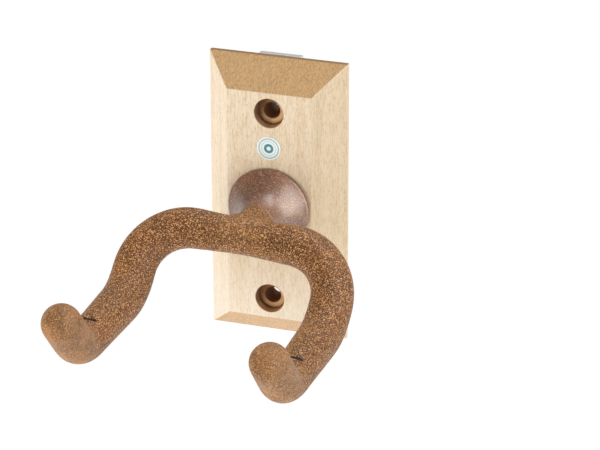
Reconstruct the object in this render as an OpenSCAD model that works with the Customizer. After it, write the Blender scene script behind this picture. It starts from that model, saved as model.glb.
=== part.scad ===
// Wall guitar hanger: a bevelled wood block that carries a swivelling, cork-covered fork.
// The origin is the point where the swivel axis meets the wall. +Z is up and -Y points out
// from the wall, so the back of the steel strap lies at Y = 0.

/* [Wood block] */
// Width of the block
block_w = 52.5; // [44:0.5:80]
// Height of the block
block_h = 109; // [98:1:160]
// Thickness of the block from its back to its front face
block_t = 13; // [10.5:0.5:24]
// Thickness left at the block's outer edge
edge_t = 2; // [1:0.25:5]
// Width of the bevel seen from the front
bevel_w = 10.2; // [2:0.2:16]

/* [Wall screw holes] */
// Distance between the two wall screws
screw_spacing = 73.4; // [66:0.2:90]
// Diameter of the holes for the wall screws
screw_hole_d = 6.2; // [4:0.1:7]
// Diameter of the recess for a screw head
head_recess_d = 11; // [8:0.5:14]
// Depth of the recess for a screw head
head_recess_depth = 3.6; // [1:0.2:6]

/* [Back strap] */
// Width of the steel strap
strap_w = 16.2; // [14:0.2:30]
// Thickness of the steel strap
strap_t = 2.5; // [1.5:0.1:5]
// Diameter of the strap's lower hole, wide so that the second screw can be lined up
strap_lower_hole_d = 10; // [7:0.5:12]
// Distance between the two screws that fix the strap to the wood
fix_spacing = 47; // [44:1:54]
// Diameter of a fixing screw's shank
fix_shank_d = 3; // [2:0.1:3.5]
// Diameter of a fixing screw's head
fix_head_d = 5.8; // [4:0.1:7]
// Length of a fixing screw
fix_length = 9; // [6:0.5:10]

/* [Swivel] */
// Diameter of the axle
axle_d = 8; // [6.5:0.1:10]
// Diameter of the thread at the axle's end
thread_d = 6; // [4:0.1:6]
// Radial clearance between the axle and its bush
running_clearance = 0.05; // [0.02:0.01:0.1]
// End play left along the axle
end_play = 0.1; // [0.05:0.05:0.4]
// Wall of the bush
bush_wall = 1.5; // [0.8:0.1:3]
// Diameter of the bush's flange
bush_flange_d = 14; // [12:0.5:20]
// Thickness of the bush's flange
bush_flange_t = 0.8; // [0.5:0.1:1.5]
// Free height of the conical spring washer
spring_h = 0.8; // [0.6:0.05:1.2]
// Sheet thickness of the conical spring washer
spring_t = 0.5; // [0.3:0.05:0.55]
// Diameter of the conical spring washer
spring_d = 12; // [10:0.5:16]
// Thickness of the flat washer
washer_t = 1; // [0.5:0.1:1.6]
// Diameter of the flat washer
washer_d = 13; // [11:0.5:18]
// Width of the lock nut across its flats
nut_flats = 10; // [9:0.1:13]
// Height of the lock nut
nut_h = 6; // [4:0.1:7]
// Free room round the bush flange in the pocket
pocket_room = 0.5; // [0.2:0.1:4]
// Free room between the nut and the strap
nut_room = 0.4; // [0.2:0.1:2]
// Diameter of the slide disc behind the collar
slide_disc_d = 26; // [20:0.5:28]
// Thickness of the slide disc
slide_disc_t = 0.8; // [0.5:0.1:1.5]
// Gap between the collar's rim and the wood
rim_gap = 0.4; // [0.2:0.1:0.6]

/* [Collar] */
// Diameter of the collar against the wood
collar_d = 30.8; // [29:0.2:40]
// Height of the collar from the wood to its mouth
collar_h = 15; // [10:0.5:24]
// Diameter of the collar's mouth, where the fork comes out
mouth_d = 13.4; // [12:0.2:18]
// Thickness of the collar's rim
rim_t = 1.2; // [0.8:0.1:3]

/* [Fork] */
// Tilt at which the fork stands at rest, turned about the swivel axis
fork_tilt = 2.5; // [-20:0.5:20]
// Distance from the wood's front face to the middle of the crossbar
bar_reach = 27.8; // [25:0.2:45]
// Straight length of the crossbar between its bends
bar_straight = 36.4; // [20:0.2:60]
// Straight length of each sloping stretch
slope_straight = 0.5; // [0.1:0.1:30]
// Straight length of each level arm
arm_straight = 29.6; // [10:0.2:60]
// Straight length of each upturned tip
tip_straight = 14.4; // [6:0.2:30]
// Radius of the bends
bend_r = 18.8; // [15:0.2:30]
// Angle at which the fork slopes down from the crossbar
drop_angle = 50; // [30:1:70]
// Angle at which the tips turn up
tip_angle = 47.5; // [20:0.5:80]

/* [Rod and cover] */
// Diameter of the steel rod
rod_d = 8; // [5:0.1:10]
// Throat of the weld between the axle and the rod
weld_throat = 1.6; // [0.8:0.1:2.2]
// Diameter of the cover at the middle of the crossbar
cover_bar_d = 13; // [12.4:0.1:15]
// Diameter of the cover at the outer bends of the crossbar
cover_bend_d = 15; // [13:0.1:17]
// Diameter of the cover on the arms
cover_arm_d = 15.6; // [13:0.1:20]
// Diameter of the cover at the tips
cover_tip_d = 14.1; // [12:0.1:18]

/* [Badge] */
// Diameter of the plain round badge
badge_d = 9; // [5:0.5:12]
// Thickness of the badge
badge_t = 0.3; // [0.1:0.1:1]
// Height of the badge above the swivel axis
badge_z = 23.2; // [20:0.2:27]

/* [Hidden] */
$fn = 96;
eps = 0.05;
// Bends and round ends are this much wider than the straights they join
bend_swell = 0.1;
wood_back_y = -strap_t;
wood_front_y = wood_back_y - block_t;
screw_heights = [screw_spacing / 2, -screw_spacing / 2];
fix_heights = [fix_spacing / 2, -fix_spacing / 2];
fix_head_depth = (fix_head_d - fix_shank_d) / 2;
nut_corner_d = nut_flats / cos(30);
bush_bore_d = axle_d + 2 * running_clearance;
bush_d = bush_bore_d + 2 * bush_wall;
pocket_d = max(bush_flange_d, washer_d, nut_corner_d) + 2 * pocket_room;
// The pocket is as deep as all that stands in it
pocket_depth = bush_flange_t + end_play + spring_h + washer_t + nut_h + nut_room;
pocket_floor_y = wood_back_y - pocket_depth;
spring_y = pocket_floor_y + bush_flange_t + end_play;
washer_y = spring_y + spring_h;
nut_y = washer_y + washer_t;
nut_end_y = nut_y + nut_h;
lock_ring_h = nut_h / 4;
lock_ring_wall = 1;
collar_back_y = wood_front_y - rim_gap;
collar_mouth_y = wood_front_y - collar_h;
bar_y = wood_front_y - bar_reach;
// The axle's flat foot stands on the wall side of the rod
axle_foot_y = bar_y + rod_d / 2;

// ---- Helpers ----

// Places its children on the swivel axis at a depth, with local +Z pointing out from the wall
module on_axis(y, z = 0) {
    translate([0, y, z]) rotate([90, 0, 0]) children();
}

// A round bar on the swivel axis between two depths, the first one nearer to the wall
module axis_bar(back_y, front_y, d, z = 0) {
    on_axis(back_y, z) cylinder(d = d, h = back_y - front_y);
}

// A ring on the swivel axis between two depths
module axis_ring(back_y, front_y, outer_d, inner_d) {
    difference() {
        axis_bar(back_y, front_y, outer_d);
        axis_bar(back_y + eps, front_y - eps, inner_d);
    }
}

// A straight stretch of round bar along +Z, with its children at the far end
module straight_run(length, start_d, end_d) {
    cylinder(d1 = start_d, d2 = end_d, h = length);
    translate([0, 0, length]) children();
}

// A bend of round bar from +Z towards +X, with its children at the far end
module bend_run(angle, d) {
    translate([bend_r, 0, 0])
        mirror([1, 0, 0])
        rotate([90, 0, 0])
        rotate_extrude(angle = angle)
        translate([bend_r, 0])
        circle(d = d + bend_swell);
    translate([bend_r, 0, 0]) rotate([0, angle, 0]) translate([-bend_r, 0, 0]) children();
}

// One half of the fork, from the middle of the crossbar to the middle of the tip's round end
module half_fork(bar_d, bend_d, arm_d, tip_d) {
    rotate([drop_angle - 90, 0, 0])
        rotate([0, 90, 0])
        straight_run(bar_straight / 2, bar_d, bend_d)
        bend_run(90, bend_d)
        rotate([0, 0, -90])
        straight_run(slope_straight, bend_d, arm_d)
        bend_run(drop_angle, arm_d)
        straight_run(arm_straight, arm_d, tip_d)
        bend_run(tip_angle, tip_d)
        straight_run(tip_straight, tip_d, tip_d)
        sphere(d = tip_d + bend_swell);
}

// The whole fork shape, standing at its resting tilt
module fork_shape(bar_d, bend_d, arm_d, tip_d) {
    rotate([0, fork_tilt, 0])
        translate([0, bar_y, 0])
        for (side = [0, 1])
            mirror([side, 0, 0]) half_fork(bar_d, bend_d, arm_d, tip_d);
}

// ---- Wall side ----

// Outline of the bevelled plate across a width, with its back on the X axis
function plate_outline(width) = [
    [-width / 2, 0], [width / 2, 0], [width / 2, -edge_t],
    [width / 2 - bevel_w, -block_t], [bevel_w - width / 2, -block_t], [-width / 2, -edge_t]
];

// The block before drilling, with all four sides of its front bevelled
module bevelled_block() {
    translate([0, wood_back_y, 0])
        intersection() {
            translate([0, 0, -block_h / 2])
                linear_extrude(block_h) polygon(plate_outline(block_w));
            translate([-block_w / 2, 0, 0])
                rotate([0, 90, 0]) linear_extrude(block_w) polygon(plate_outline(block_h));
        }
}

module wood_block() {
    color("wheat")
        difference() {
            bevelled_block();
            for (z = screw_heights) {
                axis_bar(wood_back_y + eps, wood_front_y - eps, screw_hole_d, z);
                axis_bar(wood_front_y + head_recess_depth, wood_front_y - eps, head_recess_d, z);
            }
            axis_bar(wood_back_y + eps, pocket_floor_y, pocket_d);
            axis_bar(wood_back_y + eps, wood_front_y - eps, bush_d);
            for (z = fix_heights)
                axis_bar(wood_back_y + eps, -fix_length, fix_shank_d, z);
        }
}

module back_strap() {
    color("silver")
        difference() {
            translate([-strap_w / 2, -strap_t, -block_h / 2]) cube([strap_w, strap_t, block_h]);
            axis_bar(eps, -strap_t - eps, screw_hole_d, screw_heights[0]);
            axis_bar(eps, -strap_t - eps, strap_lower_hole_d, screw_heights[1]);
            for (z = fix_heights)
                fixing_screw_shape(z);
        }
}

// A countersunk screw whose head is flush with the back of the strap
module fixing_screw_shape(z) {
    on_axis(0, z) {
        cylinder(d1 = fix_head_d, d2 = fix_shank_d, h = fix_head_depth);
        cylinder(d = fix_shank_d, h = fix_length);
    }
}

module strap_screws() {
    slot_w = 0.8;
    slot_depth = 0.7;
    color("gainsboro")
        for (z = fix_heights)
            difference() {
                fixing_screw_shape(z);
                translate([-fix_head_d, -slot_depth, z - slot_w / 2])
                    cube([2 * fix_head_d, 2 * slot_depth, slot_w]);
            }
}

module axle_bush() {
    color("darkgoldenrod")
        difference() {
            union() {
                axis_bar(pocket_floor_y + bush_flange_t, wood_front_y, bush_d);
                axis_bar(pocket_floor_y + bush_flange_t, pocket_floor_y, bush_flange_d);
            }
            axis_bar(wood_back_y, wood_front_y - eps, bush_bore_d);
        }
}

module slide_disc() {
    color("ivory")
        axis_ring(wood_front_y, wood_front_y - slide_disc_t, slide_disc_d, bush_bore_d);
}

module badge() {
    color("lightcyan")
        axis_bar(wood_front_y, wood_front_y - badge_t, badge_d, badge_z);
}

// ---- Swivelling side ----

// Half section of the collar: a thin rim that sweeps in to the mouth through one hollow arc
function sweep_radius(s) = collar_d / 2 - (collar_d - mouth_d) / 2 * sin(90 * pow(s, 0.8));

module collar() {
    steps = 14;
    sweep_h = collar_h - rim_gap - rim_t;
    outline = [
        [axle_d / 2, 0],
        [collar_d / 2, 0],
        for (i = [0:steps]) [sweep_radius(i / steps), rim_t + sweep_h * i / steps],
        [axle_d / 2, rim_t + sweep_h]
    ];
    color("rosybrown")
        difference() {
            on_axis(collar_back_y) rotate_extrude() polygon(outline);
            axis_bar(collar_back_y + eps, wood_front_y - slide_disc_t - end_play, slide_disc_d + 1);
        }
}

module fork_cover() {
    color("peru")
        difference() {
            union() {
                fork_shape(cover_bar_d, cover_bend_d, cover_arm_d, cover_tip_d);
                axis_bar(collar_mouth_y, bar_y, mouth_d);
            }
            fork_rod_shape();
            axis_bar(collar_mouth_y + eps, axle_foot_y, axle_d);
            weld_shape();
        }
}

module fork_rod_shape() {
    fork_shape(rod_d, rod_d, rod_d, rod_d);
}

module fork_rod() {
    color("dimgray") fork_rod_shape();
}

// The axle is full size up to the flat washer, and threaded from there to its end
module swivel_axle() {
    color("slategray") {
        axis_bar(washer_y, axle_foot_y, axle_d);
        axis_bar(nut_end_y, washer_y, thread_d);
    }
}

// A cone of weld round the axle's foot, down to the middle of the rod
module weld_shape() {
    weld_h = rod_d / 2 + weld_throat;
    on_axis(axle_foot_y + weld_throat)
        cylinder(d1 = axle_d, d2 = axle_d + 2 * weld_throat, h = weld_h);
}

module weld_bead() {
    color("gray")
        difference() {
            weld_shape();
            fork_rod_shape();
            axis_bar(0, axle_foot_y, axle_d);
        }
}

module spring_washer() {
    hole_d = axle_d + 0.4;
    rise = spring_h - spring_t;
    outline = [
        [hole_d / 2, rise], [spring_d / 2, 0], [spring_d / 2, spring_t], [hole_d / 2, rise + spring_t]
    ];
    color("slategray")
        on_axis(washer_y) rotate_extrude() polygon(outline);
}

module flat_washer() {
    color("silver") axis_ring(nut_y, washer_y, washer_d, thread_d);
}

module lock_nut() {
    cone_d = nut_flats + 2 * nut_h / tan(30);
    color("silver")
        difference() {
            intersection() {
                on_axis(nut_end_y) cylinder(d = nut_corner_d, h = nut_h, $fn = 6);
                on_axis(nut_end_y) cylinder(d1 = nut_flats, d2 = cone_d, h = nut_h);
            }
            axis_bar(nut_end_y + eps, nut_y - eps, thread_d);
            axis_bar(nut_end_y + eps, nut_end_y - lock_ring_h, thread_d + 2 * lock_ring_wall);
        }
}

module lock_ring() {
    color("royalblue")
        axis_ring(nut_end_y, nut_end_y - lock_ring_h, thread_d + 2 * lock_ring_wall, thread_d);
}

wood_block();
back_strap();
strap_screws();
axle_bush();
slide_disc();
badge();
collar();
fork_cover();
fork_rod();
swivel_axle();
weld_bead();
spring_washer();
flat_washer();
lock_nut();
lock_ring();
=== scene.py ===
"""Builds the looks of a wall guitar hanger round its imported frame: a bevelled maple block with a
steel strap on its back, and a swivelling fork under a cork-and-rubber cover."""

import math

import bmesh
import bpy
from bpy.props import FloatProperty, FloatVectorProperty, IntProperty, PointerProperty
from mathutils import Matrix, Vector


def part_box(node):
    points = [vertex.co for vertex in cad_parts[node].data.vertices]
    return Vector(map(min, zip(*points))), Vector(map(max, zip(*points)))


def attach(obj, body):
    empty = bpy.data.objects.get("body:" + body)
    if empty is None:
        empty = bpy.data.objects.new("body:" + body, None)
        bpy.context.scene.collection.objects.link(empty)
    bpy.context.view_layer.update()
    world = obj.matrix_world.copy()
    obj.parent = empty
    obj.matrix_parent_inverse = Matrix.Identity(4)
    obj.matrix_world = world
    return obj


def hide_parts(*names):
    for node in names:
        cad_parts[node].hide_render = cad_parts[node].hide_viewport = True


bl_info = {
    "name": "Wall guitar hanger",
    "version": (1, 0, 0),
    "blender": (4, 5, 0),
    "location": "View3D > Sidebar > Hanger",
    "description": "Models a wooden wall guitar hanger with a swivelling, cork-covered fork",
    "category": "Object",
}

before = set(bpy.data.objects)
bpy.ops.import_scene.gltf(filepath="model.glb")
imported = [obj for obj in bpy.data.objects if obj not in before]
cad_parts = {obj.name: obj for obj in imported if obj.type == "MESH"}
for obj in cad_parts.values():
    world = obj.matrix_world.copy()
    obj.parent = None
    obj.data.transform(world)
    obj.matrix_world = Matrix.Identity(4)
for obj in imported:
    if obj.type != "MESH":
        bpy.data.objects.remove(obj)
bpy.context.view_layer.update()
BLOCK_LOW, BLOCK_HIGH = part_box("wood_block")
STRAP_LOW, STRAP_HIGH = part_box("back_strap")
BADGE_LOW, BADGE_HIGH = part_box("badge")
COLLAR_LOW, COLLAR_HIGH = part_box("collar")
MM = 0.001
BLOCK_BODY = "wall_plate"
FORK_BODY = "fork"
# +Z of a shape made on the swivel axis points out from the wall
OUT_FROM_WALL = Matrix.Rotation(math.radians(90), 4, "X")
# How far a cutter reaches past the surface that it opens
CUTTER_OVERLAP = 1 * MM
RING_SIDES = 24
STUB_SIDES = 32
# A subdivided ring of this many sides ends up smaller by this factor
RING_SHRINK = (2 + math.cos(math.tau / RING_SIDES)) / 3
STUB_SHRINK = (2 + math.cos(math.tau / STUB_SIDES)) / 3
# Cover diameters hold at these shares of the way from the crossbar's middle to a tip
TAPER_SHARES = (0, 0.2, 0.45, 0.8, 1)
TIP_RINGS = 7
TIP_RING_LEAN = math.radians(11)
CREASE_HALF = 1.1 * MM
CREASE_REACH = math.radians(24)
# Past this distance out from the wall the cover is worn paler
TIP_START_Y, TIP_FULL_Y = -0.104, -0.112
CAMERA_PLACE = Vector((0.3127, -0.9292, 0.4199))
CAMERA_FORWARD = Vector((-0.2861, 0.8687, -0.4044))
CAMERA_UP = Vector((-0.1253, 0.3845, 0.9146))
SENSOR_WIDTH = 36
LIGHT_AIM = Vector((0, -0.05, 0))
WHITE = (1, 1, 1)
WARM = (1, 0.76, 0.28)


# ---- Sizes and colours that a user would change ----

def length(name, about, millimetres):
    """A length property, given in millimetres."""
    return FloatProperty(name=name, description=about, default=millimetres * MM, unit="LENGTH")


def angle(name, about, degrees):
    """An angle property, given in degrees."""
    return FloatProperty(
        name=name, description=about, default=math.radians(degrees), subtype="ANGLE"
    )


def colour(name, about, rgb):
    """A colour property."""
    return FloatVectorProperty(
        name=name, description=about, default=rgb, size=3, min=0, max=1, subtype="COLOR"
    )


class BlockSizes(bpy.types.PropertyGroup):
    edge_t: length("Edge thickness", "Thickness left at the block's outer edge", 2)
    bevel_w: length("Bevel width", "Width of the bevel seen from the front", 10.2)
    screw_spacing: length("Screw spacing", "Distance between the two wall screws", 73.4)
    screw_hole_d: length("Screw hole", "Diameter of the wall screw holes", 6.2)
    recess_d: length("Head recess", "Diameter of the recess for a screw head", 11)
    recess_depth: length("Recess depth", "Depth of the recess for a screw head", 3.6)
    edge_round: length("Edge rounding", "How far the block's edges are eased", 0.3)
    pocket_d: length("Pocket", "Diameter of the pocket for the lock nut", 15)
    pocket_depth: length("Pocket depth", "Depth of the pocket for the lock nut", 9.1)
    bush_d: length("Bush hole", "Diameter of the hole for the bush", 11.1)
    lower_hole_d: length("Strap's lower hole", "Diameter of the strap's lower hole", 10)
    fix_spacing: length("Fixing screw spacing", "Distance between the strap's screws", 47)
    fix_head_d: length("Fixing screw head", "Diameter of a fixing screw's head", 5.8)
    fix_shank_d: length("Fixing screw shank", "Diameter of a fixing screw's shank", 3)
    fix_length: length("Fixing screw length", "Length of a fixing screw", 9)


class ForkSizes(bpy.types.PropertyGroup):
    tilt: angle("Tilt", "Tilt of the fork at rest", 2.5)
    bar_reach: length("Reach", "From the wood's front face to the middle of the crossbar", 27.8)
    bar_straight: length("Crossbar", "Straight length of the crossbar", 36.4)
    slope_straight: length("Slope", "Straight length of each sloping stretch", 0.5)
    arm_straight: length("Arm", "Straight length of each level arm", 29.6)
    tip_straight: length("Tip", "Straight length of each upturned tip", 14.4)
    bend_r: length("Bend radius", "Radius of the bends", 18.8)
    drop_angle: angle("Drop", "Angle at which the fork slopes down", 50)
    tip_angle: angle("Tip angle", "Angle at which the tips turn up", 47.5)
    bar_d: length("Cover at crossbar", "Cover diameter in the middle of the crossbar", 13)
    bend_d: length("Cover at bends", "Cover diameter at the crossbar's outer bends", 15)
    arm_d: length("Cover on arms", "Cover diameter on the arms", 15.6)
    tip_d: length("Cover at tips", "Cover diameter at the tips", 14.1)
    crease_depth: length("Crease", "Depth of the crease behind each tip", 2.6)
    axle_d: length("Axle", "Diameter of the axle", 8)
    mouth_d: length("Mouth", "Diameter of the collar's mouth and of the stub in it", 13.4)
    rim_t: length("Rim", "Thickness of the collar's rim", 1.2)


class Finishes(bpy.types.PropertyGroup):
    maple_light: colour("Maple, light", "Light wood between the grain lines", (0.86, 0.73, 0.565))
    maple_dark: colour("Maple, dark", "Grain lines of the wood", (0.66, 0.49, 0.285))
    maple_end: colour("Maple, end grain", "Wood cut across the grain", (0.42, 0.235, 0.085))
    # Also the colour of the shade and shadow painted into the screw holes
    scorched_and_shaded: colour("Scorched wood", "Wood browned by the drill", (0.20, 0.085, 0.03))
    worn: colour("Counterbored wood", "Wood on the floor of a recess", (0.55, 0.34, 0.17))
    cork_body: colour("Cover, body", "Rubber between the cork grains", (0.17, 0.054, 0.011))
    cork_light: colour("Cover, light grain", "Light cork grains", (0.84, 0.44, 0.15))
    cork_dark: colour("Cover, dark grain", "Dark cork grains", (0.05, 0.018, 0.006))
    cork_tip: colour("Cover, tips", "Paler rubber at the worn tips", (0.37, 0.185, 0.072))
    collar_body: colour("Collar, body", "Rubber of the collar", (0.22, 0.06, 0.01))
    collar_light: colour("Collar, light grain", "Light grains of the collar", (0.6, 0.3, 0.1))
    collar_dark: colour("Collar, dark grain", "Dark grains of the collar", (0.05, 0.016, 0.006))
    zinc: colour("Zinc plate", "Zinc-plated steel", (0.7, 0.71, 0.72))
    badge_ring: colour("Badge ring", "Ring printed on the badge", (0.02, 0.22, 0.24))
    badge_foil: colour("Badge foil", "Foil of the badge", (0.86, 0.95, 0.97))


class StageSettings(bpy.types.PropertyGroup):
    floor_drop: FloatProperty(
        name="Floor", description="Depth of the floor below the block", default=1.2, unit="LENGTH"
    )
    floor_size: FloatProperty(
        name="Floor size", description="Width of the floor", default=80.0, unit="LENGTH"
    )
    lens: FloatProperty(
        name="Lens", description="Focal length of the camera in millimetres", default=173.4
    )
    key: FloatProperty(name="Key light", description="Power of the left light", default=8.8)
    fill: FloatProperty(name="Fill light", description="Power of the right light", default=2.6)
    sheen: FloatProperty(
        name="Gloss light", description="Power of the light that shows only in gloss", default=16.0
    )
    top: FloatProperty(name="Top light", description="Power of the top light", default=11.2)
    sky: FloatProperty(name="Sky", description="Strength of the even light", default=0.33)
    glow: FloatProperty(name="Floor glow", description="Light that the floor gives", default=0.67)


PROPERTY_GROUPS = {
    "hanger_block": BlockSizes,
    "hanger_fork": ForkSizes,
    "hanger_finish": Finishes,
    "hanger_stage": StageSettings,
}


# ---- Shader maths ----

class Field:
    """A shader value. Arithmetic on it adds Math nodes to its material."""

    def __init__(self, finish, socket):
        self.finish = finish
        self.socket = socket

    def math(self, operation, *values):
        settings = {"operation": operation}
        return self.finish.node("ShaderNodeMath", settings, dict(enumerate((self, *values))))

    def at_most_one(self):
        """Held down to 1 where it is higher."""
        return self.math("MINIMUM", 1.0)

    def __add__(self, other):
        return self.math("ADD", other)

    def __sub__(self, other):
        return self.math("SUBTRACT", other)

    def __rsub__(self, other):
        return (self * -1) + other

    def __mul__(self, other):
        return self.math("MULTIPLY", other)

    def __truediv__(self, other):
        return self.math("DIVIDE", other)

    def __pow__(self, other):
        return self.math("POWER", other)

    def __abs__(self):
        return self.math("ABSOLUTE")

    __radd__ = __add__
    __rmul__ = __mul__

    def step(self, low, high):
        """Rises smoothly from 0 at low to 1 at high, or falls where high is the lower one."""
        settings = {"interpolation_type": "SMOOTHSTEP"}
        values = {"Value": self, "From Min": low, "From Max": high}
        if low > high:
            values.update({"From Min": high, "From Max": low, "To Min": 1.0, "To Max": 0.0})
        return self.finish.node("ShaderNodeMapRange", settings, values)


class Finish:
    """A procedural material, built node by node."""

    def __init__(self, name, **constants):
        self.material = bpy.data.materials.new(name)
        self.material.use_nodes = True
        self.tree = self.material.node_tree
        self.shader = self.tree.nodes["Principled BSDF"]
        for socket_name, value in constants.items():
            self.shader.inputs[socket_name.replace("_", " ")].default_value = value

    @staticmethod
    def find(sockets, key):
        """A socket by number, identifier or name."""
        if isinstance(key, int):
            return sockets[key]
        for socket in sockets:
            if key in (socket.identifier, socket.name) and socket.enabled:
                return socket
        raise KeyError(key)

    def feed(self, socket, value):
        """Links a field to a socket, or sets the socket's own value."""
        if isinstance(value, Field):
            self.tree.links.new(value.socket, socket)
        else:
            socket.default_value = value

    def node(self, kind, settings, values, output=0):
        """Adds a node of a kind, with its settings and socket values, and returns one output."""
        made = self.tree.nodes.new(kind)
        for key, value in settings.items():
            setattr(made, key, value)
        for key, value in values.items():
            self.feed(self.find(made.inputs, key), value)
        return Field(self, self.find(made.outputs, output))

    def place(self, scale=(1, 1, 1)):
        """The object coordinates, stretched by a scale."""
        here = self.node("ShaderNodeTexCoord", {}, {}, "Object")
        return self.node("ShaderNodeMapping", {}, {"Vector": here, "Scale": scale})

    def axes(self, wanted="XYZ"):
        """The wanted object coordinates as fields, in metres."""
        here = self.node("ShaderNodeTexCoord", {}, {}, "Object")
        return [self.node("ShaderNodeSeparateXYZ", {}, {"Vector": here}, axis) for axis in wanted]

    def noise(self, scale, detail, roughness, stretch=(1, 1, 1)):
        """Cloudy noise from 0 to 1, as many waves a metre as its scale times its stretch."""
        values = {"Vector": self.place(stretch), "Scale": scale, "Detail": detail}
        values["Roughness"] = roughness
        return self.node("ShaderNodeTexNoise", {}, values, "Fac")

    def grains(self, scale, output, randomness=1.0):
        """Rounded grains: their random colour, or the distance from their middle."""
        values = {"Vector": self.place(), "Scale": scale, "Randomness": randomness}
        return self.node("ShaderNodeTexVoronoi", {}, values, output)

    def grain_pick(self, scale, channel, randomness=1.0):
        """A random number from 0 to 1 for each grain."""
        values = {"Color": self.grains(scale, "Color", randomness)}
        return self.node("ShaderNodeSeparateColor", {}, values, channel)

    def mix(self, factor, first, second):
        """Mixes two colours."""
        settings = {"data_type": "RGBA"}
        values = {"Factor_Float": factor}
        for key, value in (("A_Color", first), ("B_Color", second)):
            values[key] = value if isinstance(value, Field) else (*value, 1)
        return self.node("ShaderNodeMix", settings, values, "Result_Color")

    def bump(self, height, distance, strength):
        """Roughens the surface by a height."""
        values = {"Height": height, "Distance": distance, "Strength": strength}
        self.feed(self.shader.inputs["Normal"], self.node("ShaderNodeBump", {}, values))

    def paint(self, base, roughness, metallic=0.0):
        """Joins the finished colour and gloss to the shader."""
        for name, value in (("Base Color", base), ("Roughness", roughness), ("Metallic", metallic)):
            self.feed(self.shader.inputs[name], value)
        return self.material


def shaded(rgb, share):
    """A colour made darker or lighter by a share."""
    return [channel * share for channel in rgb]


# ---- Finishes ----

def maple_finish(look, block):
    """Pale maple with upright grain, darker end grain and drill-browned screw holes, with painted
    shade on the sawn ends and in the holes and a painted floor sheen towards the lower end.
    """
    wood = Finish("maple", Specular_IOR_Level=0.35)
    x, y, z = wood.axes()

    # Upright grain, with a painted floor sheen that pales the block towards its lower end
    bands = wood.noise(1, 3.0, 0.55, stretch=(210, 260, 9)).step(0.35, 0.68)
    fibres = wood.noise(1, 3.0, 0.65, stretch=(2600, 2600, 240)).step(0.38, 0.70)
    flecks = wood.noise(1, 2.0, 0.5, stretch=(2100, 2100, 900)).step(0.52, 0.72)
    tone = bands * 0.24 + fibres * 0.58 + flecks * 0.55
    side = wood.mix(tone, look.maple_light, look.maple_dark)
    # Painted sheen of the floor, growing towards the block's lower end
    floor_sheen = z.step(-0.012, -0.05) * 0.35
    side = wood.mix(floor_sheen, side, [c * 0.5 + 0.44 for c in look.maple_light])

    # End grain on the bevels that face up and down; the flat sawn ends get extra painted shade
    normal = wood.node("ShaderNodeTexCoord", {}, {}, "Normal")
    steep = abs(wood.node("ShaderNodeSeparateXYZ", {}, {"Vector": normal}, "Z"))
    rise = steep.step(0.35, 0.8)
    pores = wood.noise(1, 3.0, 0.6, stretch=(2400, 900, 900)).step(0.38, 0.66)
    end = wood.mix(pores * 0.75, shaded(look.maple_end, 1.38), shaded(look.maple_end, 0.64))
    body = wood.mix(rise * 0.9, side, end)
    # Painted shade on the flat sawn ends at the top and bottom
    body = wood.mix(steep.step(0.86, 0.97) * 0.7, body, shaded(look.maple_end, 0.4))

    # Screw holes, browned by the drill, with painted shade in the corner of the recess and a
    # painted shadow on their upper left side
    off_axis = abs(z) - block.screw_spacing / 2
    above = off_axis * z / abs(z)
    radius = (x * x + off_axis * off_axis) ** 0.5
    recess_r, hole_r = block.recess_d / 2, block.screw_hole_d / 2
    floor_y = BLOCK_LOW.y + block.recess_depth
    char = wood.noise(520, 3.0, 0.6).step(0.3, 0.72)
    # Painted shade in the corner between the recess's floor and wall
    corner = (abs(y - floor_y) + abs(radius - recess_r)).step(1.1 * MM, 0.2 * MM)
    bore = radius.step(hole_r + 0.35 * MM, hole_r)
    # Painted shadow, darkest on the upper left of each recess
    shadow_side = ((above - x) / recess_r).step(-0.35, 0.9)
    scorch_and_shade = (corner * 0.8 + char * 0.25 + shadow_side * 0.85).at_most_one()
    burnt_and_shaded = wood.mix(scorch_and_shade, shaded(look.worn, 1.25), look.scorched_and_shaded)
    burnt_and_shaded = wood.mix(bore, burnt_and_shaded, shaded(look.scorched_and_shaded, 1.3))
    inside = radius.step(recess_r + 0.3 * MM, recess_r - 0.05 * MM)

    wood.bump(fibres * 0.5 + flecks * -0.7 + pores * rise * 0.4, 0.05 * MM, 0.6)
    rough = fibres * 0.1 + tone * 0.15 + inside * 0.4 + 0.42
    return wood.paint(wood.mix(inside, body, burnt_and_shaded), rough)


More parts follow.
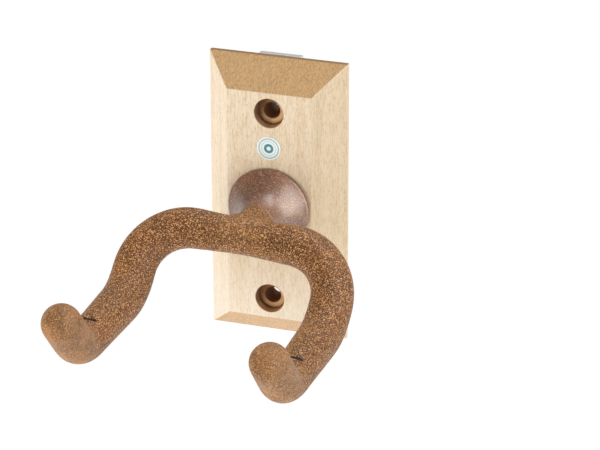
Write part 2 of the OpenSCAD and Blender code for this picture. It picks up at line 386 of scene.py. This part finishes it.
def cork_finish(look, name, colours, grain, contrast, gloss, coat, is_cover):
    """Ground cork in rubber: light and dark grains of random size in a brown body. Its colours are
    those of the body, the light and the dark grains. The cover also has a pale middle, worn tips
    and creases darkened with painted shade."""
    body, light, dark = colours
    cork = Finish(
        name, Sheen_Weight=0.08, Sheen_Roughness=0.35, Sheen_Tint=(0.93, 0.86, 0.84, 1),
        Specular_IOR_Level=gloss, Coat_Weight=coat, Coat_Roughness=0.36, Coat_IOR=1.9,
    )
    fine = 1 / grain
    pick, small_pick = cork.grain_pick(fine, "Red"), cork.grain_pick(fine * 1.8, "Red")
    depth = cork.grains(fine, "Distance")
    haze = cork.noise(fine * 1.3, 3.0, 0.6)
    patches = cork.noise(75, 3.0, 0.6).step(0.32, 0.68)
    specks = pick.step(0.8, 0.9) * depth.step(0.72, 0.38) * 1.1 + small_pick.step(0.86, 0.94) * 0.9
    shade = pick.step(0.3, 0.12) * 0.75 + small_pick.step(0.22, 0.08) * 0.65
    glints = cork.grain_pick(fine * 0.8, "Blue", 0.9).step(0.93, 0.97)
    strength = contrast
    base = cork.mix(patches, shaded(body, 0.7), shaded(body, 1.3))
    if is_cover:
        x, y = cork.axes("XY")
        tips = y.step(TIP_START_Y, TIP_FULL_Y)
        strength = (tips * -0.42 + 1) * contrast
        wear = cork.noise(130, 3.0, 0.55).step(0.36, 0.62)
        worn = cork.mix(wear, shaded(look.cork_tip, 0.68), shaded(look.cork_tip, 1.3))
        base = cork.mix(tips * 0.75, base, worn)
        middle = abs(x).step(12 * MM, 3 * MM)
        base = cork.mix(middle * 0.4, base, look.cork_tip)
    base = cork.mix(haze.step(0.32, 0.72) * 0.5, base, shaded(body, 0.6))
    base = cork.mix(shade.at_most_one() * strength, base, dark)
    base = cork.mix(specks.at_most_one() * strength, base, light)
    base = cork.mix(glints * strength * 0.55, base, [c + 0.15 for c in light])
    if is_cover:
        # Painted shade darkens the creases
        crease = cork.node("ShaderNodeAttribute", {"attribute_name": "crease"}, {}, "Fac")
        base = cork.mix(crease.step(0.1, 0.35), base, shaded(dark, 0.45))
    cork.bump(specks * 0.5 + haze * 0.5 - shade * 0.35, 0.1 * MM, 0.55)
    return cork.paint(base, haze * 0.2 - specks * 0.06 + (0.66 - gloss * 0.36))


def brushed_metal(name, rgb, roughness, stretch, darkest=0.75, holes=()):
    """Metal with fine marks along one direction, a light cloudy tarnish and painted shade on the
    hole walls. Each hole is given by its height on the swivel's upright line and its radius."""
    metal = Finish(name)
    marks = metal.noise(1, 3.0, 0.65, stretch=stretch)
    cloud = metal.noise(90, 3.0, 0.55).step(0.3, 0.75)
    base = metal.mix(cloud * 0.5, rgb, shaded(rgb, darkest))
    metal.bump(marks, 0.02 * MM, 0.5)
    clear_of_hole_shade = 1.0
    if holes:
        x, z = metal.axes("XZ")
        for height, radius in holes:
            rise = z - height
            away = ((x * x + rise * rise) ** 0.5).step(radius + 0.05 * MM, radius + 0.25 * MM)
            clear_of_hole_shade = away * clear_of_hole_shade
        # Painted shade on the hole walls: near black and not metallic
        base = metal.mix(clear_of_hole_shade, shaded(rgb, 0.04), base)
    return metal.paint(base, marks * 0.22 + cloud * 0.1 + (roughness - 0.15), clear_of_hole_shade)


def plastic_finish(name, rgb, roughness):
    """Moulded plastic with a faint orange-peel skin."""
    plastic = Finish(name)
    skin = plastic.noise(1500, 2.0, 0.5)
    cloud = plastic.noise(160, 2.0, 0.5).step(0.3, 0.7)
    base = plastic.mix(cloud * 0.3, rgb, shaded(rgb, 0.85))
    plastic.bump(skin, 0.02 * MM, 0.4)
    return plastic.paint(base, skin * 0.15 + roughness)


def badge_finish(look, centre, radius):
    """A foil sticker with three plain printed rings, placed by shares of its radius."""
    foil = Finish("badge_foil", Coat_Weight=0.8, Coat_Roughness=0.08)
    x, z = foil.axes("XZ")
    rise = z - centre.z
    share = ((x * x + rise * rise) ** 0.5) / radius
    rim = share.step(0.88, 0.85) * share.step(0.76, 0.79)
    thin = share.step(0.66, 0.63) * share.step(0.56, 0.59)
    middle = share.step(0.42, 0.38) * share.step(0.16, 0.20)
    printed = (rim * 0.65 + thin * 0.3 + middle * 0.95).at_most_one()
    flakes = foil.noise(3800, 2.0, 0.6)
    base = foil.mix(printed, look.badge_foil, look.badge_ring)
    foil.bump(flakes, 0.01 * MM, 0.4)
    return foil.paint(base, flakes * 0.15 + 0.22, 0.15 - printed * 0.15)


# ---- Mesh helpers ----

def add_piece(name, bm, material, body, node, smooth_angle=35):
    """Makes a finished object of a bmesh. It rides on a body and stands for a CAD node."""
    bmesh.ops.recalc_face_normals(bm, faces=bm.faces)
    mesh = bpy.data.meshes.new(name)
    bm.to_mesh(mesh)
    bm.free()
    piece = bpy.data.objects.new(name, mesh)
    bpy.context.scene.collection.objects.link(piece)
    mesh.materials.append(material)
    mesh.shade_smooth()
    mesh.set_sharp_from_angle(angle=math.radians(smooth_angle))
    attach(piece, body)
    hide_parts(node)
    return piece


def cut(bm, cutters):
    """Takes the shapes of other bmeshes out of a bmesh. The cut is made in millimetres."""
    objects = []
    for number, shape in enumerate([bm, *cutters]):
        bmesh.ops.scale(shape, vec=Vector((1, 1, 1)) / MM, verts=shape.verts)
        bmesh.ops.recalc_face_normals(shape, faces=shape.faces)
        mesh = bpy.data.meshes.new(f"cut_{number}")
        shape.to_mesh(mesh)
        shape.free()
        objects.append(bpy.data.objects.new(mesh.name, mesh))
        bpy.context.scene.collection.objects.link(objects[-1])
    for cutter in objects[1:]:
        taken = objects[0].modifiers.new(cutter.name, "BOOLEAN")
        taken.operation = "DIFFERENCE"
        taken.solver = "EXACT"
        taken.object = cutter
    bpy.context.view_layer.update()
    whole = objects[0].evaluated_get(bpy.context.evaluated_depsgraph_get())
    result = bmesh.new()
    result.from_mesh(whole.to_mesh())
    for used in objects:
        bpy.data.objects.remove(used)
    bmesh.ops.scale(result, vec=Vector((1, 1, 1)) * MM, verts=result.verts)
    return result


def box_shape(low, high):
    """A box between two corners."""
    bm = bmesh.new()
    size, middle = high - low, (high + low) / 2
    place = Matrix.Translation(middle) @ Matrix.Diagonal((*size, 1))
    bmesh.ops.create_cube(bm, size=1, matrix=place)
    return bm


def ease_edges(bm, edges, width):
    """Rounds edges by a small width."""
    bmesh.ops.bevel(
        bm, geom=edges, offset=width, offset_type="OFFSET", segments=3,
        profile=0.5, affect="EDGES", material=-1, clamp_overlap=True,
    )


def turned_shape(outline, place, closed=False, steps=96):
    """Spins an outline of (radius, height) points about +Z of a place."""
    bm = bmesh.new()
    verts = [bm.verts.new((radius, 0, height)) for radius, height in outline]
    edges = [bm.edges.new(pair) for pair in zip(verts, verts[1:])]
    if closed:
        edges.append(bm.edges.new((verts[-1], verts[0])))
    bmesh.ops.spin(
        bm, geom=verts + edges, cent=(0, 0, 0), axis=(0, 0, 1),
        angle=math.tau, steps=steps, use_merge=True,
    )
    bmesh.ops.remove_doubles(bm, verts=bm.verts, dist=1e-7)
    bmesh.ops.transform(bm, matrix=place, verts=bm.verts)
    return bm


def on_axis(y, z=0.0):
    """A place on an axis square to the wall, with +Z pointing out from the wall."""
    return Matrix.Translation((0, y, z)) @ OUT_FROM_WALL


def rounded(corner, before, after, radius, steps=4):
    """Points that round off one corner of an outline, between its two neighbours."""
    corner, before, after = Vector(corner), Vector(before), Vector(after)
    start = corner + (before - corner).normalized() * radius
    end = corner + (after - corner).normalized() * radius
    shares = [i / steps for i in range(steps + 1)]
    return [
        tuple(start * (1 - s) ** 2 + corner * 2 * s * (1 - s) + end * s ** 2) for s in shares
    ]


# ---- Pieces on the wall side ----

def bevelled_block(block):
    """The block before drilling: a thin slab whose front is drawn out to a smaller face."""
    low, high = BLOCK_LOW, BLOCK_HIGH
    bm = box_shape(Vector((low.x, high.y - block.edge_t, low.z)), high)
    front = min(bm.faces, key=lambda face: face.calc_center_median().y)
    drawn = bmesh.ops.extrude_face_region(bm, geom=[front])["geom"]
    verts = [part for part in drawn if isinstance(part, bmesh.types.BMVert)]
    bmesh.ops.delete(bm, geom=[front], context="FACES_ONLY")
    width, height = high.x - low.x, high.z - low.z
    bevels = 2 * block.bevel_w
    shrink = Vector(((width - bevels) / width, 1, (height - bevels) / height))
    bmesh.ops.scale(bm, vec=shrink, verts=verts)
    bmesh.ops.translate(bm, vec=(0, low.y - (high.y - block.edge_t), 0), verts=verts)
    ease_edges(bm, bm.edges[:], block.edge_round)
    return bm


def screw_hole_cutter(block, z):
    """The hole and head recess of a wall screw, with an eased mouth."""
    hole_r, recess_r = block.screw_hole_d / 2, block.recess_d / 2
    mouth, over = BLOCK_HIGH.y - BLOCK_LOW.y, CUTTER_OVERLAP
    floor = mouth - block.recess_depth
    ease = 0.25 * MM
    outline = [
        (0, -over), (hole_r, -over), (hole_r, floor - ease), (hole_r + ease, floor),
        (recess_r, floor), (recess_r, mouth - ease), (recess_r + ease / 4, mouth - ease / 2),
        (recess_r + ease + over, mouth + over), (0, mouth + over),
    ]
    return turned_shape(outline, on_axis(BLOCK_HIGH.y, z))


def round_cutter(radius, y_back, y_front, z=0.0, ease=0.0):
    """A round hole between two depths, with an eased mouth on the wall side."""
    reach, over = y_back - y_front, CUTTER_OVERLAP
    outline = [
        (0, -over), (radius + ease + over, -over), (radius, ease), (radius, reach), (0, reach),
    ]
    return turned_shape(outline, on_axis(y_back, z))


def screw_heights(spacing):
    """Heights of an upper and a lower screw about the swivel's axis."""
    return (spacing / 2, -spacing / 2)


def countersunk(block, z, grow=0.0):
    """A countersunk screw, its head flush with the strap's back, or its slightly larger cutter."""
    head_r, shank_r = block.fix_head_d / 2, block.fix_shank_d / 2
    cone = head_r - shank_r
    lip = 0.12 * MM
    outline = [
        (0, -grow * 2), (head_r - lip + grow, -grow * 2), (head_r + grow, lip),
        (shank_r + grow, cone + lip), (shank_r + grow, block.fix_length - 2 * shank_r),
        (0, block.fix_length),
    ]
    return turned_shape(outline, on_axis(STRAP_HIGH.y, z), steps=48)


class HANGER_OT_wood_block(bpy.types.Operator):
    """Model the bevelled wood block with its screw holes, pocket and bush hole"""

    bl_idname = "hanger.wood_block"
    bl_label = "Wood block"

    def execute(self, context):
        block, look = context.scene.hanger_block, context.scene.hanger_finish
        cutters = [screw_hole_cutter(block, z) for z in screw_heights(block.screw_spacing)]
        pocket_floor = BLOCK_HIGH.y - block.pocket_depth
        cutters.append(round_cutter(block.pocket_d / 2, BLOCK_HIGH.y, pocket_floor, ease=0.2 * MM))
        cutters.append(round_cutter(block.bush_d / 2, BLOCK_HIGH.y, BLOCK_LOW.y - CUTTER_OVERLAP))
        bm = cut(bevelled_block(block), cutters)
        piece = add_piece(
            "maple_block", bm, maple_finish(look, block), BLOCK_BODY, "wood_block"
        )
        piece.modifiers.new("even_shading", "WEIGHTED_NORMAL").keep_sharp = True
        return {"FINISHED"}


class HANGER_OT_back_strap(bpy.types.Operator):
    """Model the steel strap on the block's back and the two screws that hold it"""

    bl_idname = "hanger.back_strap"
    bl_label = "Back strap and screws"

    def execute(self, context):
        block, look = context.scene.hanger_block, context.scene.hanger_finish
        bm = box_shape(STRAP_LOW, STRAP_HIGH)
        ease_edges(bm, bm.edges[:], 0.3 * MM)
        upper, lower = screw_heights(block.screw_spacing)
        holes = ((upper, block.screw_hole_d / 2), (lower, block.lower_hole_d / 2))
        through = STRAP_LOW.y - CUTTER_OVERLAP
        cutters = [
            round_cutter(radius, STRAP_HIGH.y, through, z, ease=0.2 * MM) for z, radius in holes
        ]
        cutters += [countersunk(block, z, 0.05 * MM) for z in screw_heights(block.fix_spacing)]
        zinc = brushed_metal("zinc_plate", look.zinc, 0.5, (2400, 2400, 120), holes=holes)
        piece = add_piece(
            "steel_strap", cut(bm, cutters), zinc, BLOCK_BODY, "back_strap"
        )
        piece.modifiers.new("even_shading", "WEIGHTED_NORMAL").keep_sharp = True
        screws = bmesh.new()
        slot_depth, slot_half = 0.75 * MM, 0.4 * MM
        for z in screw_heights(block.fix_spacing):
            slot_low = Vector((-block.fix_head_d, -slot_depth, z - slot_half))
            slot_high = Vector((block.fix_head_d, CUTTER_OVERLAP, z + slot_half))
            screw = cut(countersunk(block, z), [box_shape(slot_low, slot_high)])
            mesh = bpy.data.meshes.new("one_screw")
            screw.to_mesh(mesh)
            screws.from_mesh(mesh)
            bpy.data.meshes.remove(mesh)
            screw.free()
        metal = brushed_metal("screw_steel", shaded(look.zinc, 0.95), 0.38, (900, 900, 900))
        add_piece("fixing_screws", screws, metal, BLOCK_BODY, "strap_screws")
        return {"FINISHED"}


class HANGER_OT_badge(bpy.types.Operator):
    """Model the plain round badge above the collar"""

    bl_idname = "hanger.badge"
    bl_label = "Badge"

    def execute(self, context):
        centre = (BADGE_LOW + BADGE_HIGH) / 2
        radius = (BADGE_HIGH.x - BADGE_LOW.x) / 2
        thick = BADGE_HIGH.y - BADGE_LOW.y
        rim = rounded((radius, thick), (radius, 0), (0, thick), thick * 0.6)
        outline = [(0, 0), (radius, 0), *rim, (radius * 0.5, thick), (0, thick)]
        bm = turned_shape(outline, on_axis(BADGE_HIGH.y, centre.z))
        finish = badge_finish(context.scene.hanger_finish, centre, radius)
        add_piece("round_badge", bm, finish, BLOCK_BODY, "badge")
        return {"FINISHED"}


# ---- Pieces on the swivelling side ----

class HANGER_OT_collar(bpy.types.Operator):
    """Model the trumpet-shaped collar between the block and the fork"""

    bl_idname = "hanger.collar"
    bl_label = "Collar"

    def execute(self, context):
        fork, look = context.scene.hanger_fork, context.scene.hanger_finish
        foot_r = (COLLAR_HIGH.x - COLLAR_LOW.x) / 2
        mouth_r, axle_r = fork.mouth_d / 2, fork.axle_d / 2
        height = COLLAR_HIGH.y - COLLAR_LOW.y
        sweep, flare_steps = height - fork.rim_t, 24
        flare = [
            (foot_r - (foot_r - mouth_r) * math.sin(math.pi / 2 * s ** 0.8), fork.rim_t + sweep * s)
            for s in [i / flare_steps for i in range(1, flare_steps)]
        ]
        outline = [
            (axle_r, 0),
            *rounded((foot_r, 0), (axle_r, 0), (foot_r, fork.rim_t), 0.25 * MM),
            *rounded((foot_r, fork.rim_t), (foot_r, 0), flare[0], 0.4 * MM),
            *flare,
            *rounded((mouth_r, height), flare[-1], (axle_r, height), 0.3 * MM),
            (axle_r, height),
        ]
        bm = turned_shape(outline, on_axis(COLLAR_HIGH.y), closed=True, steps=128)
        finish = cork_finish(
            look, "collar_cork", (look.collar_body, look.collar_light, look.collar_dark),
            grain=0.34 * MM, contrast=0.8, gloss=0.35, coat=1.0, is_cover=False,
        )
        add_piece("bell_collar", bm, finish, FORK_BODY, "collar", 50)
        return {"FINISHED"}


def bar_middle(fork):
    """Where the crossbar's axis crosses the swivel axis."""
    return Vector((0, BLOCK_LOW.y - fork.bar_reach, 0))


def cover_radius(fork, share):
    """Radius of the cover at a share of the way from the crossbar's middle to a tip."""
    stops = list(zip(TAPER_SHARES, (fork.bar_d, fork.bend_d, fork.arm_d, fork.tip_d, fork.tip_d)))
    for (start, start_d), (end, end_d) in zip(stops, stops[1:]):
        if share <= end:
            s = (share - start) / (end - start)
            s = s * s * (3 - 2 * s)
            return (start_d + (end_d - start_d) * s) / 2
    return fork.tip_d / 2


def cover_rings(fork):
    """Each ring's place and radius along one half, from the crossbar's middle to the round tip,
    and whether the ring is the crease. Local +Z runs along the bar."""
    stub_part = fork.mouth_d / 2
    bends = fork.bend_r * (math.pi / 2 + fork.drop_angle + fork.tip_angle)
    straights = fork.bar_straight / 2 + fork.slope_straight + fork.arm_straight + fork.tip_straight
    total = bends + straights
    first_bend, up = Vector((1, 0, 0)), Vector((0, -1, 0))
    # Each stretch: straight on, or the way to a bend's centre; its length or angle; its number of
    # rings; and whether the crease is there
    route = [
        ("run", stub_part, 4, False),
        ("run", fork.bar_straight / 2 - stub_part, 5, False),
        (first_bend, math.pi / 2, 14, False),
        ("run", fork.slope_straight, 1, False),
        (up, fork.drop_angle, 8, False),
        ("run", fork.arm_straight - 3 * CREASE_HALF, 10, False),
        ("run", CREASE_HALF, 1, True),
        ("run", 2 * CREASE_HALF, 2, False),
        (up, fork.tip_angle, 8, False),
        ("run", fork.tip_straight, 5, False),
    ]
    here = Matrix.Translation(bar_middle(fork))
    here = here @ Matrix.Rotation(fork.drop_angle - math.pi / 2, 4, "X")
    here = here @ Matrix.Rotation(math.pi / 2, 4, "Y")
    gone = 0.0
    yield here, cover_radius(fork, 0), False
    for kind, amount, steps, crease in route:
        for _ in range(steps):
            if kind == "run":
                here = here @ Matrix.Translation((0, 0, amount / steps))
                gone += amount / steps
            else:
                centre = kind * fork.bend_r
                axis = Vector((0, 0, 1)).cross(kind)
                turn = Matrix.Rotation(amount / steps, 4, axis)
                here = here @ Matrix.Translation(centre) @ turn @ Matrix.Translation(-centre)
                gone += fork.bend_r * amount / steps
            yield here, cover_radius(fork, gone / total), crease
    for step in range(1, TIP_RINGS + 1):
        lean = TIP_RING_LEAN * step
        rise = Matrix.Translation((0, 0, fork.tip_d / 2 * math.sin(lean)))
        yield here @ rise, fork.tip_d / 2 * math.cos(lean), False


def dent(bm, verts, place, depth):
    """Presses a ring's upper side in, most in its middle, and marks it as a crease for painted
    shade.
    """
    crease = bm.verts.layers.float["crease"]
    centre = place.to_translation()
    up = place.to_3x3() @ Vector((0, -1, 0))
    edge = math.cos(CREASE_REACH)
    for vert in verts:
        outward = (vert.co - centre).normalized()
        share = (outward.dot(up) - edge) / (1 - edge)
        if share > 0:
            vert.co -= outward * depth * min(1, share * 1.6) ** 0.7
            vert[crease] = min(1, share * 6)


def grow(bm, edges):
    """Extrudes a ring of edges in place, and returns the new ring's vertices and edges."""
    made = bmesh.ops.extrude_edge_only(bm, edges=edges)["geom"]
    verts = [part for part in made if isinstance(part, bmesh.types.BMVert)]
    ring = [
        part for part in made
        if isinstance(part, bmesh.types.BMEdge) and all(vert in verts for vert in part.verts)
    ]
    return verts, ring


def half_cover(bm, fork):
    """One half of the cover, open at the crossbar's middle and closed at the tip."""
    rings = cover_rings(fork)
    place, radius, _ = next(rings)
    # The ring starts with a corner that faces the wall
    roll = Matrix.Rotation(math.pi - fork.drop_angle, 4, "Z")
    bmesh.ops.create_circle(
        bm, segments=RING_SIDES, radius=radius / RING_SHRINK, matrix=place @ roll
    )
    edges = bm.edges[:]
    for next_place, next_radius, crease in rings:
        verts, edges = grow(bm, edges)
        ratio = next_radius / radius
        step = next_place @ Matrix.Diagonal((ratio, ratio, 1, 1)) @ place.inverted()
        bmesh.ops.transform(bm, matrix=step, verts=verts)
        if crease:
            crease_verts, crease_place = verts, next_place
        place, radius = next_place, next_radius
    bmesh.ops.contextual_create(bm, geom=edges)
    return crease_verts, crease_place


def fork_cover_shape(fork):
    """The whole cover: two mirrored halves and the stub that runs into the collar."""
    bm = bmesh.new()
    bm.verts.layers.float.new("crease")
    crease_verts, crease_place = half_cover(bm, fork)
    dent(bm, crease_verts, crease_place, fork.crease_depth)
    bmesh.ops.recalc_face_normals(bm, faces=bm.faces)
    # The crossbar's faces that look at the wall make way for the stub
    stub_edge = fork.mouth_d / 2 + 0.01 * MM
    facing = math.cos(math.radians(75))
    window = [
        face for face in bm.faces
        if face.calc_center_median().x < stub_edge and face.normal.y > facing
    ]
    bmesh.ops.delete(bm, geom=window, context="FACES")
    bmesh.ops.mirror(bm, geom=bm.verts[:] + bm.edges[:] + bm.faces[:], axis="X", merge_dist=1e-6)
    bmesh.ops.recalc_face_normals(bm, faces=bm.faces)
    window_loop = [edge for edge in bm.edges if edge.is_boundary]
    add_stub(bm, fork, window_loop)
    tilt = Matrix.Rotation(fork.tilt, 4, "Y")
    bmesh.ops.transform(bm, matrix=tilt, verts=bm.verts)
    return bm


def add_stub(bm, fork, window_loop):
    """Draws the stub out of the crossbar's window to the collar's mouth and closes its end."""
    mouth_y, mouth_r = COLLAR_LOW.y, fork.mouth_d / 2 / STUB_SHRINK
    root_gap, lip, end_disc = 2 * MM, 0.3 * MM, 0.6
    root_y = bar_middle(fork).y + fork.bar_d / 2 + root_gap
    before = set(bm.edges)
    facing_wall = Matrix.Translation((0, root_y, 0)) @ OUT_FROM_WALL
    bmesh.ops.create_circle(bm, segments=STUB_SIDES, radius=mouth_r, matrix=facing_wall)
    edges = [edge for edge in bm.edges if edge not in before]
    bmesh.ops.bridge_loops(bm, edges=window_loop + edges)
    stations = [
        ((root_y + mouth_y) / 2, 1),
        (mouth_y - 2 * lip, 1),
        (mouth_y - lip, 1),
        (mouth_y - lip / 4, (mouth_r - lip / 3) / mouth_r),
        (mouth_y, (mouth_r - 2 * lip) / mouth_r),
        (mouth_y, end_disc),
    ]
    at_y, at_scale = root_y, 1
    for y, scale in stations:
        verts, edges = grow(bm, edges)
        ratio = scale / at_scale
        bmesh.ops.scale(bm, vec=(ratio, 1, ratio), verts=verts)
        bmesh.ops.translate(bm, vec=(0, y - at_y, 0), verts=verts)
        at_y, at_scale = y, scale
    bmesh.ops.contextual_create(bm, geom=edges)


class HANGER_OT_fork_cover(bpy.types.Operator):
    """Model the cork-and-rubber cover of the fork in one moulded piece"""

    bl_idname = "hanger.fork_cover"
    bl_label = "Fork cover"

    levels: IntProperty(name="Levels", description="Subdivision levels", default=2, min=0, max=3)

    def execute(self, context):
        fork, look = context.scene.hanger_fork, context.scene.hanger_finish
        finish = cork_finish(
            look, "cover_cork", (look.cork_body, look.cork_light, look.cork_dark),
            grain=0.32 * MM, contrast=1.0, gloss=0.38, coat=0.0, is_cover=True,
        )
        bm = fork_cover_shape(fork)
        piece = add_piece("cork_cover", bm, finish, FORK_BODY, "fork_cover", 180)
        smooth = piece.modifiers.new("smooth", "SUBSURF")
        smooth.levels = smooth.render_levels = self.levels
        return {"FINISHED"}


class HANGER_OT_swivel_parts(bpy.types.Operator):
    """Give the rod, the axle and the swivel's inner pieces their finishes"""

    bl_idname = "hanger.swivel_parts"
    bl_label = "Swivel parts"

    def execute(self, context):
        look, even_marks = context.scene.hanger_finish, (900, 900, 900)
        drawn_steel = brushed_metal("drawn_steel", (0.34, 0.34, 0.35), 0.42, (900, 90, 900))
        plated = brushed_metal("plated_steel", look.zinc, 0.32, (1400, 1400, 1400))
        finishes = {
            "fork_rod": drawn_steel,
            "swivel_axle": drawn_steel,
            "weld_bead": brushed_metal("weld_steel", (0.27, 0.26, 0.26), 0.6, (600, 600, 600), 0.5),
            "spring_washer": brushed_metal("spring_steel", (0.30, 0.31, 0.34), 0.36, even_marks),
            "flat_washer": plated,
            "lock_nut": plated,
            "lock_ring": plastic_finish("ring_nylon", (0.03, 0.09, 0.36), 0.3),
            "axle_bush": brushed_metal("turned_bronze", (0.62, 0.42, 0.20), 0.36, (300, 2400, 300)),
            "slide_disc": plastic_finish("disc_nylon", (0.80, 0.78, 0.70), 0.42),
        }
        for node, material in finishes.items():
            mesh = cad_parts[node].data
            mesh.materials.clear()
            mesh.materials.append(material)
        return {"FINISHED"}


# ---- Stage ----

def area_light(name, place, size, power, tint=WHITE):
    """A soft rectangular light that points at the hanger."""
    data = bpy.data.lights.new(name, "AREA")
    data.shape = "RECTANGLE"
    data.size, data.size_y = size
    data.energy = power
    data.color = tint
    light = bpy.data.objects.new(name, data)
    light.location = place
    light.rotation_euler = (LIGHT_AIM - Vector(place)).to_track_quat("-Z", "Y").to_euler()
    light.visible_camera = False
    bpy.context.scene.collection.objects.link(light)
    return light


def glowing_floor(stage):
    """A wide, pale floor that gives a little light, as a light table does."""
    bm = bmesh.new()
    bmesh.ops.create_grid(bm, x_segments=1, y_segments=1, size=stage.floor_size / 2)
    bmesh.ops.translate(bm, vec=(0, 0, BLOCK_LOW.z - stage.floor_drop), verts=bm.verts)
    mesh = bpy.data.meshes.new("floor")
    bm.to_mesh(mesh)
    bm.free()
    floor = bpy.data.objects.new("floor", mesh)
    bpy.context.scene.collection.objects.link(floor)
    table = Finish(
        "light_table", Base_Color=(0.95, 0.95, 0.95, 1), Roughness=0.9,
        Emission_Color=(*WHITE, 1), Emission_Strength=stage.glow,
    )
    mesh.materials.append(table.material)


def even_sky(stage):
    """An even, white light from all round."""
    world = bpy.data.worlds.new("even_light")
    world.use_nodes = True
    sky = world.node_tree.nodes["Background"]
    sky.inputs["Color"].default_value = (*WHITE, 1)
    sky.inputs["Strength"].default_value = stage.sky
    return world


def aimed_camera(stage):
    """A camera that looks down on the hanger from its right."""
    data = bpy.data.cameras.new("camera")
    data.sensor_width = SENSOR_WIDTH
    data.lens = stage.lens
    data.clip_start, data.clip_end = 0.01, 100
    camera = bpy.data.objects.new("camera", data)
    bpy.context.scene.collection.objects.link(camera)
    forward = CAMERA_FORWARD.normalized()
    right = forward.cross(CAMERA_UP).normalized()
    up = right.cross(forward)
    turn = Matrix((right, up, -forward)).transposed()
    camera.matrix_world = Matrix.Translation(CAMERA_PLACE) @ turn.to_4x4()
    return camera


class HANGER_OT_stage(bpy.types.Operator):
    """Set up the pale floor, the soft lights and the camera"""

    bl_idname = "hanger.stage"
    bl_label = "Stage"

    def execute(self, context):
        scene = context.scene
        stage = scene.hanger_stage
        glowing_floor(stage)
        scene.world = even_sky(stage)
        key = area_light("key_left", (-0.75, -0.95, -0.05), (0.6, 0.8), stage.key)
        key.visible_glossy = False
        area_light("fill_right", (1.1, -0.25, 0), (0.6, 1), stage.fill, WARM)
        sheen = area_light("sheen_right", (0.86, -0.42, 0.3), (1.2, 1.2), stage.sheen)
        sheen.visible_diffuse = False
        area_light("top", (0.3, 0.33, 1.07), (0.8, 0.8), stage.top)
        scene.camera = aimed_camera(stage)
        scene.view_settings.view_transform = "Standard"
        return {"FINISHED"}


class HANGER_PT_panel(bpy.types.Panel):
    """Lists the hanger's pieces and sizes"""

    bl_idname = "HANGER_PT_panel"
    bl_label = "Wall guitar hanger"
    bl_space_type = "VIEW_3D"
    bl_region_type = "UI"
    bl_category = "Hanger"

    def draw(self, context):
        for operator in OPERATORS:
            self.layout.operator(operator.bl_idname)
        for name, group in PROPERTY_GROUPS.items():
            box = self.layout.box()
            for key in group.__annotations__:
                box.prop(getattr(context.scene, name), key)


# In the order in which they are called
OPERATORS = (
    HANGER_OT_stage,
    HANGER_OT_wood_block,
    HANGER_OT_back_strap,
    HANGER_OT_badge,
    HANGER_OT_collar,
    HANGER_OT_fork_cover,
    HANGER_OT_swivel_parts,
)
CLASSES = (*PROPERTY_GROUPS.values(), *OPERATORS, HANGER_PT_panel)


def register():
    for cls in CLASSES:
        bpy.utils.register_class(cls)
    for name, group in PROPERTY_GROUPS.items():
        setattr(bpy.types.Scene, name, PointerProperty(type=group))


def unregister():
    for name in PROPERTY_GROUPS:
        delattr(bpy.types.Scene, name)
    for cls in reversed(CLASSES):
        bpy.utils.unregister_class(cls)


def main():
    register()
    for operator in OPERATORS:
        group, name = operator.bl_idname.split(".")
        getattr(getattr(bpy.ops, group), name)()


if __name__ == "__main__":
    main()
